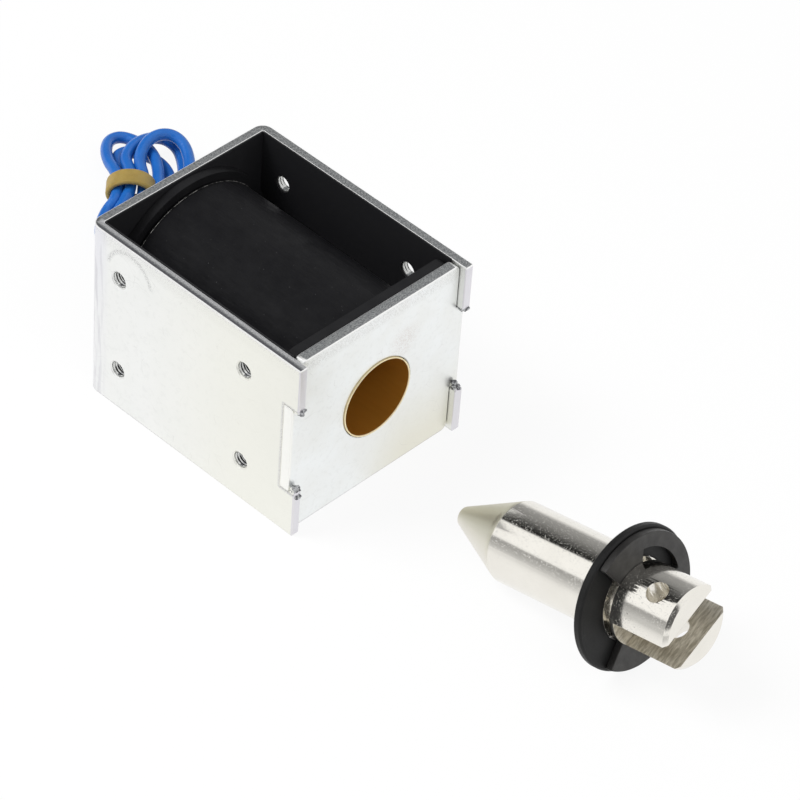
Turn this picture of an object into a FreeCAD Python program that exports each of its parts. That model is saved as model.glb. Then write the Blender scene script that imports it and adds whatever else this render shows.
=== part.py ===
# Push pull solenoid with an open frame, a pull-out plunger and two flying leads.
# Millimetres. X runs along the bore and out of the front plate, Z is up, and the origin is the
# middle of the front plate's lower edge, straight under the bore.
import FreeCAD, Part

import math
import os
import re

import Sketcher
from FreeCAD import Placement, Rotation, Vector

doc = FreeCAD.newDocument("push_pull_solenoid")

SIZES = [
    ("frame_length", 45.0, "side plates, back face to front edges"),
    ("frame_width", 36.0, "over the two side plates"),
    ("frame_height", 33.0, "floor to top edge"),
    ("sheet_thickness", 1.5, "bent frame sheet"),
    ("bend_radius", 1.9, "outside of the two back bends"),
    ("front_thickness", 1.8, "front plate"),
    ("front_setback", 1.2, "front plate's face behind the side plates' edges"),
    ("front_corner", 1.1, "rounding of the front plate's corners"),
    ("plate_gap", 0.1, "front plate to side plates and notches"),
    ("notch_height", 16.5, "notches that take the front plate's tabs"),
    ("stake_drop", 0.9, "how far a staked nub reaches over a tab"),
    ("stake_width", 1.1, "width of a staked nub"),
    ("stake_nose", 0.35, "blunt end of a staked nub"),
    ("thread_bore", 2.5, "core diameter of the tapped holes"),
    ("thread_spacing_long", 27.0, "tapped holes, spacing along the bore"),
    ("thread_spacing_high", 18.0, "tapped holes, spacing upward"),
    ("thread_from_front", 11.5, "front holes behind the side plates' edges"),
    ("thread_countersink", 0.35, "chamfer at the mouth of a tapped hole"),
    ("plunger_diameter", 13.0, "plunger over its plating"),
    ("bore_clearance", 0.08, "plunger to guide tube, on the radius"),
    ("tube_wall", 0.42, "guide tube"),
    ("tube_proud", 0.25, "guide tube in front of the front plate"),
    ("tube_seat", 0.03, "guide tube to front plate, on the radius"),
    ("pole_seat", 0.03, "pole piece to guide tube, on the radius"),
    ("pole_rim", 0.5, "flat rim of the pole piece around its hollow cone"),
    ("air_gap", 0.3, "plunger to pole piece when pulled in"),
    ("stud_diameter", 6.0, "riveted stud of the pole piece"),
    ("stud_seat", 0.03, "stud in the back plate, on the radius"),
    ("rivet_diameter", 9.0, "riveted head behind the back plate"),
    ("rivet_height", 0.8, "riveted head"),
    ("liner_thickness", 0.25, "insulating sheet inside the frame"),
    ("liner_hole", 2.9, "holes in the insulating sheet"),
    ("bobbin_gap", 0.1, "bobbin to the pieces around it"),
    ("bobbin_wall", 1.0, "bobbin's core"),
    ("rear_flange_gap", 0.05, "round flange at the back to the insulating sheet"),
    ("rear_flange_drop", 0.3, "round flange inside the frame's top and bottom edges"),
    ("rear_flange_thickness", 1.5, "round flange at the back"),
    ("front_flange_thickness", 1.9, "square flange behind the front plate"),
    ("front_flange_drop", 0.5, "front flange inside the frame's top and bottom edges"),
    ("front_flange_corner", 1.5, "rounding of the front flange's corners"),
    ("wrap_rim", 1.3, "tape inside the round flange's rim, on the radius"),
    ("wrap_thickness", 0.4, "tape around the winding"),
    ("coil_gap", 0.03, "winding to bobbin and tape, on the radius"),
    ("wrap_gap", 0.1, "winding and tape to the flanges"),
    ("cone_length", 11.2, "plunger's nose"),
    ("tip_diameter", 2.9, "blunt end of the nose"),
    ("tip_rounding", 0.6, "edge of the blunt end"),
    ("ring_position", 34.3, "tip to the back face of the retaining ring"),
    ("ring_thickness", 1.2, "retaining ring"),
    ("ring_inset", 0.5, "retaining ring inside the washer's rim"),
    ("ring_web", 2.4, "retaining ring outside its reliefs"),
    ("ring_slack", 0.05, "retaining ring in its groove, each side"),
    ("ring_grip", 0.02, "retaining ring's teeth to the neck, on the radius"),
    ("groove_depth", 1.5, "groove for the retaining ring"),
    ("ring_opening", 104.0, "degrees that the retaining ring is open"),
    ("ring_tooth", 20.0, "degrees of the retaining ring's middle tooth"),
    ("ring_lobe", 71.0, "degrees of each relief beside the tooth"),
    ("ring_turn", 155.0, "degrees from the slot's plane to the ring's opening"),
    ("washer_diameter", 22.8, "stop washer"),
    ("washer_thickness", 1.4, "stop washer"),
    ("washer_clearance", 0.1, "stop washer on the plunger, on the radius"),
    ("washer_slack", 0.05, "stop washer to retaining ring"),
    ("washer_edge", 0.25, "chamfer of the stop washer"),
    ("slot_width", 5.5, "clevis slot"),
    ("slot_depth", 10.0, "clevis slot"),
    ("slot_land", 0.65, "groove to the bottom of the slot"),
    ("pin_hole", 3.5, "cross hole of the clevis"),
    ("pin_from_end", 4.6, "cross hole to the clevis end"),
    ("clevis_chamfer", 0.6, "bevel around the clevis end"),
    ("slot_roll", 23.0, "degrees that the slot is turned as the plunger lies"),
    ("rest_gap", 18.9, "origin to the tip of the plunger as it lies"),
    ("rest_offset", 1.3, "plunger beside the bore's axis as it lies"),
    ("lead_diameter", 2.0, "insulated lead"),
    ("lead_inside", 16.0, "length of each lead inside the frame"),
    ("lead_out", 4.5, "straight run of each lead behind the frame"),
    ("lead_flange_gap", 0.3, "leads to the rear flange"),
    ("lead_angle", 45.0, "degrees below the bore's level at which the upper lead leaves"),
    ("notch_room", 0.5, "leads to the edges of their notch"),
    ("joint_length", 5.0, "soldered joint beyond a lead's end"),
    ("joint_diameter", 1.0, "soldered joint"),
    ("sleeve_wall", 0.35, "shrink sleeve"),
    ("sleeve_overlap", 4.0, "shrink sleeve over the lead"),
    ("sleeve_gap", 0.02, "shrink sleeve to lead, on the radius"),
    ("sleeve_room", 0.2, "between the two shrink sleeves"),
    ("band_wall", 0.85, "rubber band"),
    ("band_width", 2.8, "rubber band"),
    ("band_gap", 0.03, "rubber band to the hank"),
    ("band_behind", 71.0, "origin to the middle of the band"),
    ("band_beside", 16.8, "bore's axis to the middle of the band"),
    ("band_level", 3.2, "floor to the middle of the band"),
    ("band_turn", 134.0, "degrees from the bore's direction to the hank's at the band"),
    ("hank_width", 6.2, "hank across, at the band"),
    ("hank_thickness", 4.3, "hank upward, at the band"),
]
ALIASES = {alias for alias, value, note in SIZES}

sheet = doc.addObject("Spreadsheet::Sheet", "sizes")
for row, (alias, value, note) in enumerate(SIZES, start=1):
    sheet.set(f"A{row}", note)
    sheet.set(f"B{row}", str(value))
    sheet.setAlias(f"B{row}", alias)
doc.recompute()

# Places that several pieces share, as expressions of the sheet's cells
FRONT_FACE = "front_thickness / 2"
FRONT_BACK = "-front_thickness / 2"
FRONT_EDGE = "front_thickness / 2 + front_setback"
BACK_OUTER = f"{FRONT_EDGE} - frame_length"
BACK_INNER = f"{BACK_OUTER} + sheet_thickness"
LINER_FACE = f"{BACK_INNER} + liner_thickness"
AXIS = "frame_height / 2"
OUTER_HALF = "frame_width / 2"
INNER_HALF = "frame_width / 2 - sheet_thickness"
NOTCH_LOW = f"{AXIS} - notch_height / 2"
NOTCH_HIGH = f"{AXIS} + notch_height / 2"
PLUNGER = "plunger_diameter / 2"
BORE = f"{PLUNGER} + bore_clearance"
TUBE = f"{BORE} + tube_wall"
BOBBIN_BORE = f"{TUBE} + bobbin_gap"
BOBBIN_CORE = f"{BOBBIN_BORE} + bobbin_wall"
REAR_FLANGE_FACE = f"{LINER_FACE} + bobbin_gap + rear_flange_thickness"
BOBBIN_FRONT = f"{FRONT_BACK} - bobbin_gap"
FRONT_FLANGE_FACE = f"{BOBBIN_FRONT} - front_flange_thickness"
WASHER_BACK = "ring_position - washer_slack - washer_thickness"
SEATED_TIP = f"{FRONT_FACE} + tube_proud - ({WASHER_BACK})"
NECK = f"{PLUNGER} - groove_depth"
GROOVE_BACK = "ring_position - ring_slack"
GROOVE_FRONT = "ring_position + ring_thickness + ring_slack"
BODY_LENGTH = f"{GROOVE_FRONT} + slot_land + slot_depth"
RING = "washer_diameter / 2 - ring_inset"
REAR_FLANGE = f"min({INNER_HALF} - liner_thickness - rear_flange_gap; {AXIS} - rear_flange_drop)"
COIL = f"{REAR_FLANGE} - wrap_rim - wrap_thickness"
LEAD_CIRCLE = f"{REAR_FLANGE} + lead_flange_gap + lead_diameter / 2"
SLEEVE = "lead_diameter / 2 + sleeve_gap + sleeve_wall"
LEAD_STEP = f"2 * asin(({SLEEVE} + sleeve_room / 2) / ({LEAD_CIRCLE})) / 1 deg"
CUT = "frame_width + frame_height"


def spell(text):
    """The expression with the sheet's name before each alias."""
    return re.sub(r"[a-z_]+", lambda word: f"sizes.{word[0]}" if word[0] in ALIASES else word[0], text)


def size(text):
    """The value of an expression."""
    return float(sheet.evalExpression(spell(text)))


def bind(thing, **expressions):
    """Tie properties of an object to the sheet."""
    for name, text in expressions.items():
        thing.setExpression(name, spell(text))


def new_body(name):
    body = doc.addObject("PartDesign::Body", name)
    body.Label = name
    return body


def attach(body, thing, plane, across="0", upward="0", outward="0"):
    """Lay a sketch or primitive on one of the body's origin planes, moved by three expressions."""
    face = next(item for item in body.Origin.OriginFeatures if item.Role == plane)
    thing.AttachmentSupport = [(face, "")]
    thing.MapMode = "FlatFace"
    for direction, text in (("x", across), ("y", upward), ("z", outward)):
        if text != "0":
            thing.setExpression(f"AttachmentOffset.Base.{direction}", spell(text))


def sketch_on(body, name, plane, **moved):
    sketch = body.newObject("Sketcher::SketchObject", name)
    attach(body, sketch, plane, **moved)
    return sketch


def tie(sketch, kind, *places, text):
    """A dimension of the sketch that follows the sheet."""
    index = sketch.addConstraint(Sketcher.Constraint(kind, *places, size(text)))
    sketch.setExpression(f"Constraints[{index}]", spell(text))


def outline(sketch, corners):
    """A closed outline of straight sides, each corner given as two expressions."""
    first = sketch.GeometryCount
    points = [Vector(size(across), size(upward), 0) for across, upward in corners]
    count = len(points)
    for number, start in enumerate(points):
        sketch.addGeometry(Part.LineSegment(start, points[(number + 1) % count]), False)
    for number in range(count):
        following = first + (number + 1) % count
        sketch.addConstraint(Sketcher.Constraint("Coincident", first + number, 2, following, 1))
    for number, (across, upward) in enumerate(corners):
        tie(sketch, "DistanceX", -1, 1, first + number, 1, text=across)
        tie(sketch, "DistanceY", -1, 1, first + number, 1, text=upward)


def rectangle(sketch, left, right, low, high):
    outline(sketch, [(left, low), (right, low), (right, high), (left, high)])


def circle(sketch, across, upward, diameter):
    """A circle whose middle and diameter are expressions."""
    middle = Vector(size(across), size(upward), 0)
    index = sketch.addGeometry(Part.Circle(middle, Vector(0, 0, 1), size(diameter) / 2), False)
    tie(sketch, "DistanceX", -1, 1, index, 3, text=across)
    tie(sketch, "DistanceY", -1, 1, index, 3, text=upward)
    tie(sketch, "Diameter", index, text=diameter)


def extrude(body, kind, name, sketch, length, both_ways=False):
    """A Pad or Pocket of the sketch."""
    feature = body.newObject(f"PartDesign::{kind}", name)
    feature.Profile = sketch
    feature.Midplane = both_ways
    bind(feature, Length=length)
    return feature


def dress(body, kind, name, base, wanted, **amount):
    """A Fillet or Chamfer on those edges of base that wanted picks."""
    doc.recompute()
    edges = [f"Edge{number}" for number, edge in enumerate(base.Shape.Edges, start=1) if wanted(edge)]
    feature = body.newObject(f"PartDesign::{kind}", name)
    feature.Base = (base, edges)
    bind(feature, **amount)
    return feature


def turned(name, corners, upward=AXIS):
    """A body turned about a line along X, its corners given as expressions of x and radius."""
    body = new_body(name)
    sketch = sketch_on(body, f"{name}_profile", "XZ_Plane", upward=upward)
    outline(sketch, corners)
    feature = body.newObject("PartDesign::Revolution", f"{name}_turn")
    feature.Profile = sketch
    feature.ReferenceAxis = (sketch, ["H_Axis"])
    feature.Angle = 360
    return body


def near(value, text):
    return abs(value - size(text)) < 1e-4


def is_upright(edge, across, sideways):
    """True for an upright edge at this x, and at this y on either side."""
    middle = edge.BoundBox
    return middle.ZLength > 1 and middle.XLength + middle.YLength < 1e-4 and \
        near(middle.Center.x, across) and near(abs(middle.Center.y), sideways)


def is_ring(edge, radius):
    """True for a full circle of this radius."""
    return isinstance(edge.Curve, Part.Circle) and edge.Closed and near(edge.Curve.Radius, radius)


def lead_place(angle):
    """Where a lead runs beside the coil, as expressions of y and z."""
    return f"({LEAD_CIRCLE}) * cos({angle})", f"{AXIS} - ({LEAD_CIRCLE}) * sin({angle})"


UPPER_LEAD = lead_place("lead_angle")
LOWER_LEAD = lead_place(f"(lead_angle + {LEAD_STEP})")


def cut_lead_notch(body, name):
    """Cut the leads' way through the back of the body, open at its lower edge."""
    room = "(lead_diameter / 2 + notch_room)"
    sketch = sketch_on(body, f"{name}_notch", "YZ_Plane", outward=f"{LINER_FACE} + notch_room")
    rectangle(sketch, f"{LOWER_LEAD[0]} - {room}", f"{UPPER_LEAD[0]} + {room}",
              "-sheet_thickness", f"{UPPER_LEAD[1]} + {room}")
    extrude(body, "Pocket", f"{name}_lead_notch", sketch, "liner_thickness + sheet_thickness + 1")


def cut_side_holes(body, name, diameter):
    """Four holes through both side walls, in the pattern of the tapped holes."""
    sketch = sketch_on(body, f"{name}_holes", "XZ_Plane")
    near_front = f"{FRONT_EDGE} - thread_from_front"
    for across in (near_front, f"{near_front} - thread_spacing_long"):
        for upward in (f"{AXIS} - thread_spacing_high / 2", f"{AXIS} + thread_spacing_high / 2"):
            circle(sketch, across, upward, diameter)
    return extrude(body, "Pocket", f"{name}_side_holes", sketch, CUT, both_ways=True)


def frame_shell():
    """The sheet bent into a U, with notches for the front plate, staked lips and tapped holes."""
    body = new_body("frame_shell")
    profile = sketch_on(body, "frame_profile", "XY_Plane")
    outline(profile, [
        (FRONT_EDGE, f"-{OUTER_HALF}"),
        (FRONT_EDGE, f"-({INNER_HALF})"),
        (BACK_INNER, f"-({INNER_HALF})"),
        (BACK_INNER, INNER_HALF),
        (FRONT_EDGE, INNER_HALF),
        (FRONT_EDGE, OUTER_HALF),
        (BACK_OUTER, OUTER_HALF),
        (BACK_OUTER, f"-{OUTER_HALF}"),
    ])
    bent = extrude(body, "Pad", "frame_sheet", profile, "frame_height")
    bent = dress(body, "Fillet", "outer_bends", bent,
                 lambda edge: is_upright(edge, BACK_OUTER, OUTER_HALF), Radius="bend_radius")
    dress(body, "Fillet", "inner_bends", bent,
          lambda edge: is_upright(edge, BACK_INNER, INNER_HALF), Radius="bend_radius - sheet_thickness")

    notch = sketch_on(body, "tab_notch_profile", "XZ_Plane")
    rectangle(notch, FRONT_BACK, f"{FRONT_EDGE} + sheet_thickness", NOTCH_LOW, NOTCH_HIGH)
    extrude(body, "Pocket", "tab_notches", notch, CUT, both_ways=True)

    inset = "(sheet_thickness - stake_width) / 2"
    for side, outward in (("left", f"{INNER_HALF} + {inset}"), ("right", f"{inset} - {OUTER_HALF}")):
        nubs = sketch_on(body, f"{side}_stake_profile", "XZ_Plane", outward=outward)
        for edge, way in ((NOTCH_HIGH, "-"), (NOTCH_LOW, "+")):
            outline(nubs, [
                (FRONT_FACE, edge),
                (FRONT_EDGE, edge),
                (FRONT_EDGE, f"{edge} {way} stake_nose"),
                (FRONT_FACE, f"{edge} {way} stake_drop"),
            ])
        extrude(body, "Pad", f"{side}_stakes", nubs, "stake_width")

    stud = sketch_on(body, "stud_hole_profile", "YZ_Plane", outward=LINER_FACE)
    circle(stud, "0", AXIS, "stud_diameter + 2 * stud_seat")
    extrude(body, "Pocket", "stud_hole", stud, "liner_thickness + sheet_thickness + 1")
    cut_lead_notch(body, "frame")
    holes = cut_side_holes(body, "frame", "thread_bore")
    dress(body, "Chamfer", "countersinks", holes,
          lambda edge: is_ring(edge, "thread_bore / 2") and near(abs(edge.Curve.Center.y), OUTER_HALF),
          Size="thread_countersink")
    return body


def front_plate():
    """The plate that closes the U, with a tab in each side plate's notch."""
    body = new_body("front_plate")
    half = f"{INNER_HALF} - plate_gap"
    low, high = f"{NOTCH_LOW} + plate_gap", f"{NOTCH_HIGH} - plate_gap"
    right_side = [
        (half, "0"),
        (half, low),
        (OUTER_HALF, low),
        (OUTER_HALF, high),
        (half, high),
        (half, "frame_height"),
    ]
    left_side = [(f"-({across})", upward) for across, upward in reversed(right_side)]
    profile = sketch_on(body, "front_profile", "YZ_Plane")
    outline(profile, right_side + left_side)
    circle(profile, "0", AXIS, f"2 * ({TUBE} + tube_seat)")
    plate = extrude(body, "Pad", "front_sheet", profile, "front_thickness", both_ways=True)

    def is_corner(edge):
        box = edge.BoundBox
        at_end = near(box.Center.z, "0") or near(box.Center.z, "frame_height")
        return box.ZLength + box.YLength < 1e-4 and at_end and near(abs(box.Center.y), half)

    dress(body, "Fillet", "front_corners", plate, is_corner, Radius="front_corner")
    return body


def guide_tube():
    """Brass tube that lines the bore from the front plate to the back plate."""
    return turned("guide_tube", [
        (BACK_INNER, BORE),
        (f"{FRONT_FACE} + tube_proud", BORE),
        (f"{FRONT_FACE} + tube_proud", TUBE),
        (BACK_INNER, TUBE),
    ])


def pole_piece():
    """Fixed core with a hollow cone for the plunger's nose, riveted through the back plate."""
    slope = f"cone_length / ({PLUNGER} - tip_diameter / 2)"
    bottom = f"{SEATED_TIP} - air_gap"
    mouth = f"{bottom} + cone_length - pole_rim * {slope}"
    outside = f"{BORE} - pole_seat"
    head = f"{BACK_OUTER} - rivet_height"
    return turned("pole_piece", [
        (head, "0"),
        (bottom, "0"),
        (bottom, "tip_diameter / 2"),
        (mouth, f"{PLUNGER} - pole_rim"),
        (mouth, outside),
        (BACK_INNER, outside),
        (BACK_INNER, "stud_diameter / 2"),
        (BACK_OUTER, "stud_diameter / 2"),
        (BACK_OUTER, "rivet_diameter / 2"),
        (head, "rivet_diameter / 2 - rivet_height"),
    ])


def insulation_liner():
    """Thin black sheet that lines the inside of the bent frame."""
    body = new_body("insulation_liner")
    outside = INNER_HALF
    inside = f"{INNER_HALF} - liner_thickness"
    profile = sketch_on(body, "liner_profile", "XY_Plane")
    outline(profile, [
        (BOBBIN_FRONT, f"-({outside})"),
        (BOBBIN_FRONT, f"-({inside})"),
        (LINER_FACE, f"-({inside})"),
        (LINER_FACE, inside),
        (BOBBIN_FRONT, inside),
        (BOBBIN_FRONT, outside),
        (BACK_INNER, outside),
        (BACK_INNER, f"-({outside})"),
    ])
    folded = extrude(body, "Pad", "liner_sheet", profile, "frame_height")
    dress(body, "Fillet", "liner_folds", folded,
          lambda edge: is_upright(edge, BACK_INNER, outside), Radius="bend_radius - sheet_thickness")
    tube_hole = sketch_on(body, "liner_tube_hole_profile", "YZ_Plane",
                          outward=f"{LINER_FACE} + liner_thickness")
    circle(tube_hole, "0", AXIS, f"2 * ({BOBBIN_BORE})")
    extrude(body, "Pocket", "liner_tube_hole", tube_hole, "3 * liner_thickness")
    cut_lead_notch(body, "liner")
    cut_side_holes(body, "liner", "liner_hole")
    return body


def bobbin():
    """Moulded spool with a round flange at the back and a square one at the front."""
    back = f"{LINER_FACE} + bobbin_gap"
    body = turned("bobbin", [
        (back, BOBBIN_BORE),
        (BOBBIN_FRONT, BOBBIN_BORE),
        (BOBBIN_FRONT, BOBBIN_CORE),
        (REAR_FLANGE_FACE, BOBBIN_CORE),
        (REAR_FLANGE_FACE, REAR_FLANGE),
        (back, REAR_FLANGE),
    ])
    half = f"{INNER_HALF} - liner_thickness - bobbin_gap"
    profile = sketch_on(body, "front_flange_profile", "YZ_Plane", outward=FRONT_FLANGE_FACE)
    rectangle(profile, f"-({half})", half, "front_flange_drop", "frame_height - front_flange_drop")
    circle(profile, "0", AXIS, f"2 * ({BOBBIN_BORE})")
    flange = extrude(body, "Pad", "front_flange", profile, "front_flange_thickness")

    def is_corner(edge):
        box = edge.BoundBox
        return box.ZLength + box.YLength < 1e-4 and near(abs(box.Center.y), half)

    dress(body, "Fillet", "front_flange_corners", flange, is_corner, Radius="front_flange_corner")
    return body


def coil(name, inner, outer):
    """A layer around the bobbin, between its flanges."""
    back, front = f"{REAR_FLANGE_FACE} + wrap_gap", f"{FRONT_FLANGE_FACE} - wrap_gap"
    return turned(name, [(back, inner), (front, inner), (front, outer), (back, outer)])


def plunger_core():
    """Plated plunger with a blunt cone, a groove for the ring and a slotted, cross-bored end."""
    body = turned("plunger_core", [
        ("0", "0"),
        ("0", "tip_diameter / 2"),
        ("cone_length", PLUNGER),
        (GROOVE_BACK, PLUNGER),
        (GROOVE_BACK, NECK),
        (GROOVE_FRONT, NECK),
        (GROOVE_FRONT, PLUNGER),
        (f"{BODY_LENGTH} - clevis_chamfer", PLUNGER),
        (BODY_LENGTH, f"{PLUNGER} - clevis_chamfer"),
        (BODY_LENGTH, "0"),
    ], upward="0")
    dress(body, "Fillet", "rounded_tip", body.Tip,
          lambda edge: is_ring(edge, "tip_diameter / 2"), Radius="tip_rounding")
    slot = sketch_on(body, "slot_profile", "XZ_Plane")
    rectangle(slot, f"{BODY_LENGTH} - slot_depth", f"{BODY_LENGTH} + slot_width",
              "-slot_width / 2", "slot_width / 2")
    extrude(body, "Pocket", "clevis_slot", slot, "2 * plunger_diameter", both_ways=True)
    hole = sketch_on(body, "pin_hole_profile", "XY_Plane")
    circle(hole, f"{BODY_LENGTH} - pin_from_end", "0", "pin_hole")
    extrude(body, "Pocket", "clevis_hole", hole, "2 * plunger_diameter", both_ways=True)
    return body


def stop_washer():
    """Loose black washer that meets the front plate when the plunger is pulled in."""
    front = f"{WASHER_BACK} + washer_thickness"
    inner, outer = f"{PLUNGER} + washer_clearance", "washer_diameter / 2"
    return turned("stop_washer", [
        (WASHER_BACK, inner),
        (front, inner),
        (front, f"{outer} - washer_edge"),
        (f"{front} - washer_edge", outer),
        (f"{WASHER_BACK} + washer_edge", outer),
        (WASHER_BACK, f"{outer} - washer_edge"),
    ], upward="0")


def sector(body, name, radius, opening, start):
    """Cut a sector out of the body, from a start angle in degrees."""
    wedge = body.newObject("PartDesign::SubtractiveCylinder", name)
    attach(body, wedge, "YZ_Plane")
    wedge.AttachmentOffset = Placement(Vector(0, 0, 0), Rotation(Vector(0, 0, 1), size(start)))
    wedge.setExpression("AttachmentOffset.Base.z", spell("ring_position - ring_thickness"))
    bind(wedge, Radius=radius, Height="3 * ring_thickness", Angle=opening)


def retaining_ring():
    """Snap-on ring with three teeth on the neck, open on one side."""
    body = new_body("retaining_ring")
    profile = sketch_on(body, "ring_profile", "YZ_Plane", outward="ring_position")
    circle(profile, "0", "0", f"2 * ({RING})")
    circle(profile, "0", "0", f"2 * ({NECK} + ring_grip)")
    extrude(body, "Pad", "ring_disc", profile, "ring_thickness")
    tooth = "ring_turn + 180"
    lobes = f"{RING} - ring_web"
    sector(body, "ring_mouth", "washer_diameter", "ring_opening", "ring_turn - ring_opening / 2")
    sector(body, "ring_lobe_ahead", lobes, "ring_lobe", f"{tooth} + ring_tooth / 2")
    sector(body, "ring_lobe_behind", lobes, "ring_lobe", f"{tooth} - ring_tooth / 2 - ring_lobe")
    return body


def lie_down(body):
    """Lay a piece of the plunger on the floor, on the cone's edge and the washer's rim."""
    rise = size(f"washer_diameter / 2 - {PLUNGER}")
    pitch = math.atan2(rise, size(f"{WASHER_BACK} + washer_edge - cone_length"))
    height = size(PLUNGER) * math.cos(pitch) - size("cone_length") * math.sin(pitch)
    tilt = Rotation(Vector(0, 1, 0), -math.degrees(pitch))
    roll = Rotation(Vector(1, 0, 0), size("slot_roll"))
    body.Placement = Placement(Vector(size("rest_gap"), size("rest_offset"), height), tilt * roll)


# The leads' routes from their straight runs behind the frame to the hank
UPPER_ROUTE = [
    (-55.0, 13.4, 2.4),
    (-60.6, 13.2, 1.1),
    (-64.4, 13.8, 1.6),
]
LOWER_ROUTE = [
    (-54.5, 10.4, 1.1),
    (-61.0, 9.8, 1.1),
    (-66.0, 11.2, 1.2),
]
# The hank's middle line, before and behind the band: x, y, height, half width and half thickness
HANK_NEAR = [
    (-58.8, 4.9, 2.4, 1.8, 1.0),
    (-59.3, 6.1, 2.6, 4.2, 1.8),
    (-61.7, 9.1, 2.8, 5.9, 2.2),
    (-64.5, 12.7, 3.0, 6.6, 2.3),
    (-67.6, 14.3, 3.1, 4.6, 2.2),
]
HANK_FAR = [
    (-73.4, 20.3, 3.2, 5.0, 2.3),
    (-74.9, 23.4, 3.2, 7.2, 2.6),
    (-77.6, 26.5, 3.1, 8.0, 2.4),
    (-81.4, 26.9, 2.9, 4.5, 2.0),
    (-82.3, 27.8, 2.8, 2.2, 1.2),
]


def rounded_route(points):
    """Straight runs joined by tangent arcs, each as large as its two runs allow."""
    edges = []
    start = points[0]
    for before, corner, after in zip(points, points[1:], points[2:]):
        incoming, outgoing = (before - corner), (after - corner)
        half_turn = (math.pi - incoming.getAngle(outgoing)) / 2
        back_off = 0.45 * min(incoming.Length, outgoing.Length)
        radius = back_off / math.tan(half_turn)
        incoming.normalize()
        outgoing.normalize()
        bisector = (incoming + outgoing).normalize()
        first, last = corner + incoming * back_off, corner + outgoing * back_off
        middle = corner + bisector * (radius / math.cos(half_turn) - radius)
        print(f"radius {radius:.1f}")
        edges.append(Part.LineSegment(start, first).toShape())
        edges.append(Part.Arc(first, middle, last).toShape())
        start = last
    edges.append(Part.LineSegment(start, points[-1]).toShape())
    return Part.Wire(edges)


def feature(name, shape):
    """A document object that holds a shape made here."""
    thing = doc.addObject("Part::Feature", name)
    thing.Label = name
    thing.Shape = shape
    return thing


def lead(name, place, route):
    """An insulated lead from its joint inside the frame to the hank."""
    sideways, upward = (size(text) for text in place)
    inner_end = Vector(size(f"{BACK_OUTER} + lead_inside"), sideways, upward)
    outer_end = Vector(size(f"{BACK_OUTER} - lead_out"), sideways, upward)
    points = [inner_end, outer_end] + [Vector(*point) for point in route]
    path = rounded_route(points)
    ring = Part.Wire(Part.makeCircle(size("lead_diameter / 2"), inner_end, points[1] - inner_end))
    tube = path.makePipeShell([ring], True, True)
    wanted = math.pi * size("lead_diameter / 2") ** 2 * path.Length
    if abs(tube.Volume / wanted - 1) > 0.02:
        raise ValueError(f"{name}: the tube's volume is {tube.Volume:.1f}, not {wanted:.1f}")
    return feature(name, tube)


def bar(name, start, length, radius, hollow=None):
    """A round bar along X from a start point, or a tube when hollow is given."""
    rod = doc.addObject("Part::Cylinder", f"{name}_outside" if hollow else name)
    bind(rod, Radius=radius, Height=length)
    place = Placement(start, Rotation(Vector(0, 1, 0), 90))
    rod.Placement = place
    if not hollow:
        return rod
    core = doc.addObject("Part::Cylinder", f"{name}_inside")
    bind(core, Radius=hollow, Height=length)
    core.Placement = place
    tube = doc.addObject("Part::Cut", name)
    tube.Base, tube.Tool = rod, core
    return tube


def joint_and_sleeve(number, place):
    """A soldered joint at a lead's inner end, and the shrink sleeve over it."""
    sideways, upward = (size(text) for text in place)
    end = Vector(size(f"{BACK_OUTER} + lead_inside"), sideways, upward)
    joint = bar(f"solder_joint_{number}", end, "joint_length", "joint_diameter / 2")
    start = end - Vector(size("sleeve_overlap"), 0, 0)
    sleeve = bar(f"joint_sleeve_{number}", start, "sleeve_overlap + joint_length",
                 SLEEVE, hollow=f"{SLEEVE} - sleeve_wall")
    return joint, sleeve


def oval(middle, heading, half_width, half_thickness):
    """An upright oval wire across a level heading."""
    sideways = Vector(-heading.y, heading.x, 0).normalize()
    curve = Part.Ellipse(Vector(0, 0, 0), max(half_width, half_thickness), min(half_width, half_thickness))
    wire = Part.Wire(curve.toShape())
    turn = Rotation(sideways, Vector(0, 0, 1), heading, "XYZ")
    wire.Placement = Placement(middle, turn)
    return wire


def band_place():
    """The middle of the band and the way that the hank runs through it."""
    turn = math.radians(size("band_turn"))
    middle = Vector(-size("band_behind"), size("band_beside"), size("band_level"))
    return middle, Vector(math.cos(turn), math.sin(turn), 0)


def lead_hank():
    """Outer shape of the two folded leads, drawn in at the rubber band."""
    waist, through = band_place()
    step = through * size("band_width")
    half_width, half_thickness = size("hank_width / 2"), size("hank_thickness / 2")
    rows = [*HANK_NEAR, (*(waist - step), half_width, half_thickness),
            (*(waist + step), half_width, half_thickness), *HANK_FAR]
    ovals = [oval(Vector(*row[:3]), through, row[3], row[4]) for row in rows]
    return feature("lead_hank", Part.makeLoft(ovals, True, True))


def hank_band():
    """Rubber band around the middle of the hank."""
    waist, through = band_place()
    start = waist - through * size("band_width / 2")
    along = through * size("band_width")
    half_width, half_thickness = size("hank_width / 2 + band_gap"), size("hank_thickness / 2 + band_gap")
    wall = size("band_wall")
    outside = Part.Face(oval(start, through, half_width + wall, half_thickness + wall)).extrude(along)
    inside = Part.Face(oval(start, through, half_width, half_thickness)).extrude(along)
    return feature("hank_band", outside.cut(inside))


def check_and_write(pieces):
    """Stop at a failed object or a bad shape, or else write each piece to its file."""
    doc.recompute()
    for thing in doc.Objects:
        if "Invalid" in thing.State or "Error" in thing.State:
            raise ValueError(f"{thing.Name} failed: {thing.State}")
    for piece in pieces:
        if piece.Shape.isNull() or not piece.Shape.isValid() or not piece.Shape.Solids:
            raise ValueError(f"{piece.Label} has no sound shape")
    os.makedirs("parts", exist_ok=True)
    for piece in pieces:
        piece.Shape.exportStep(f"parts/{piece.Label}.step")


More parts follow.
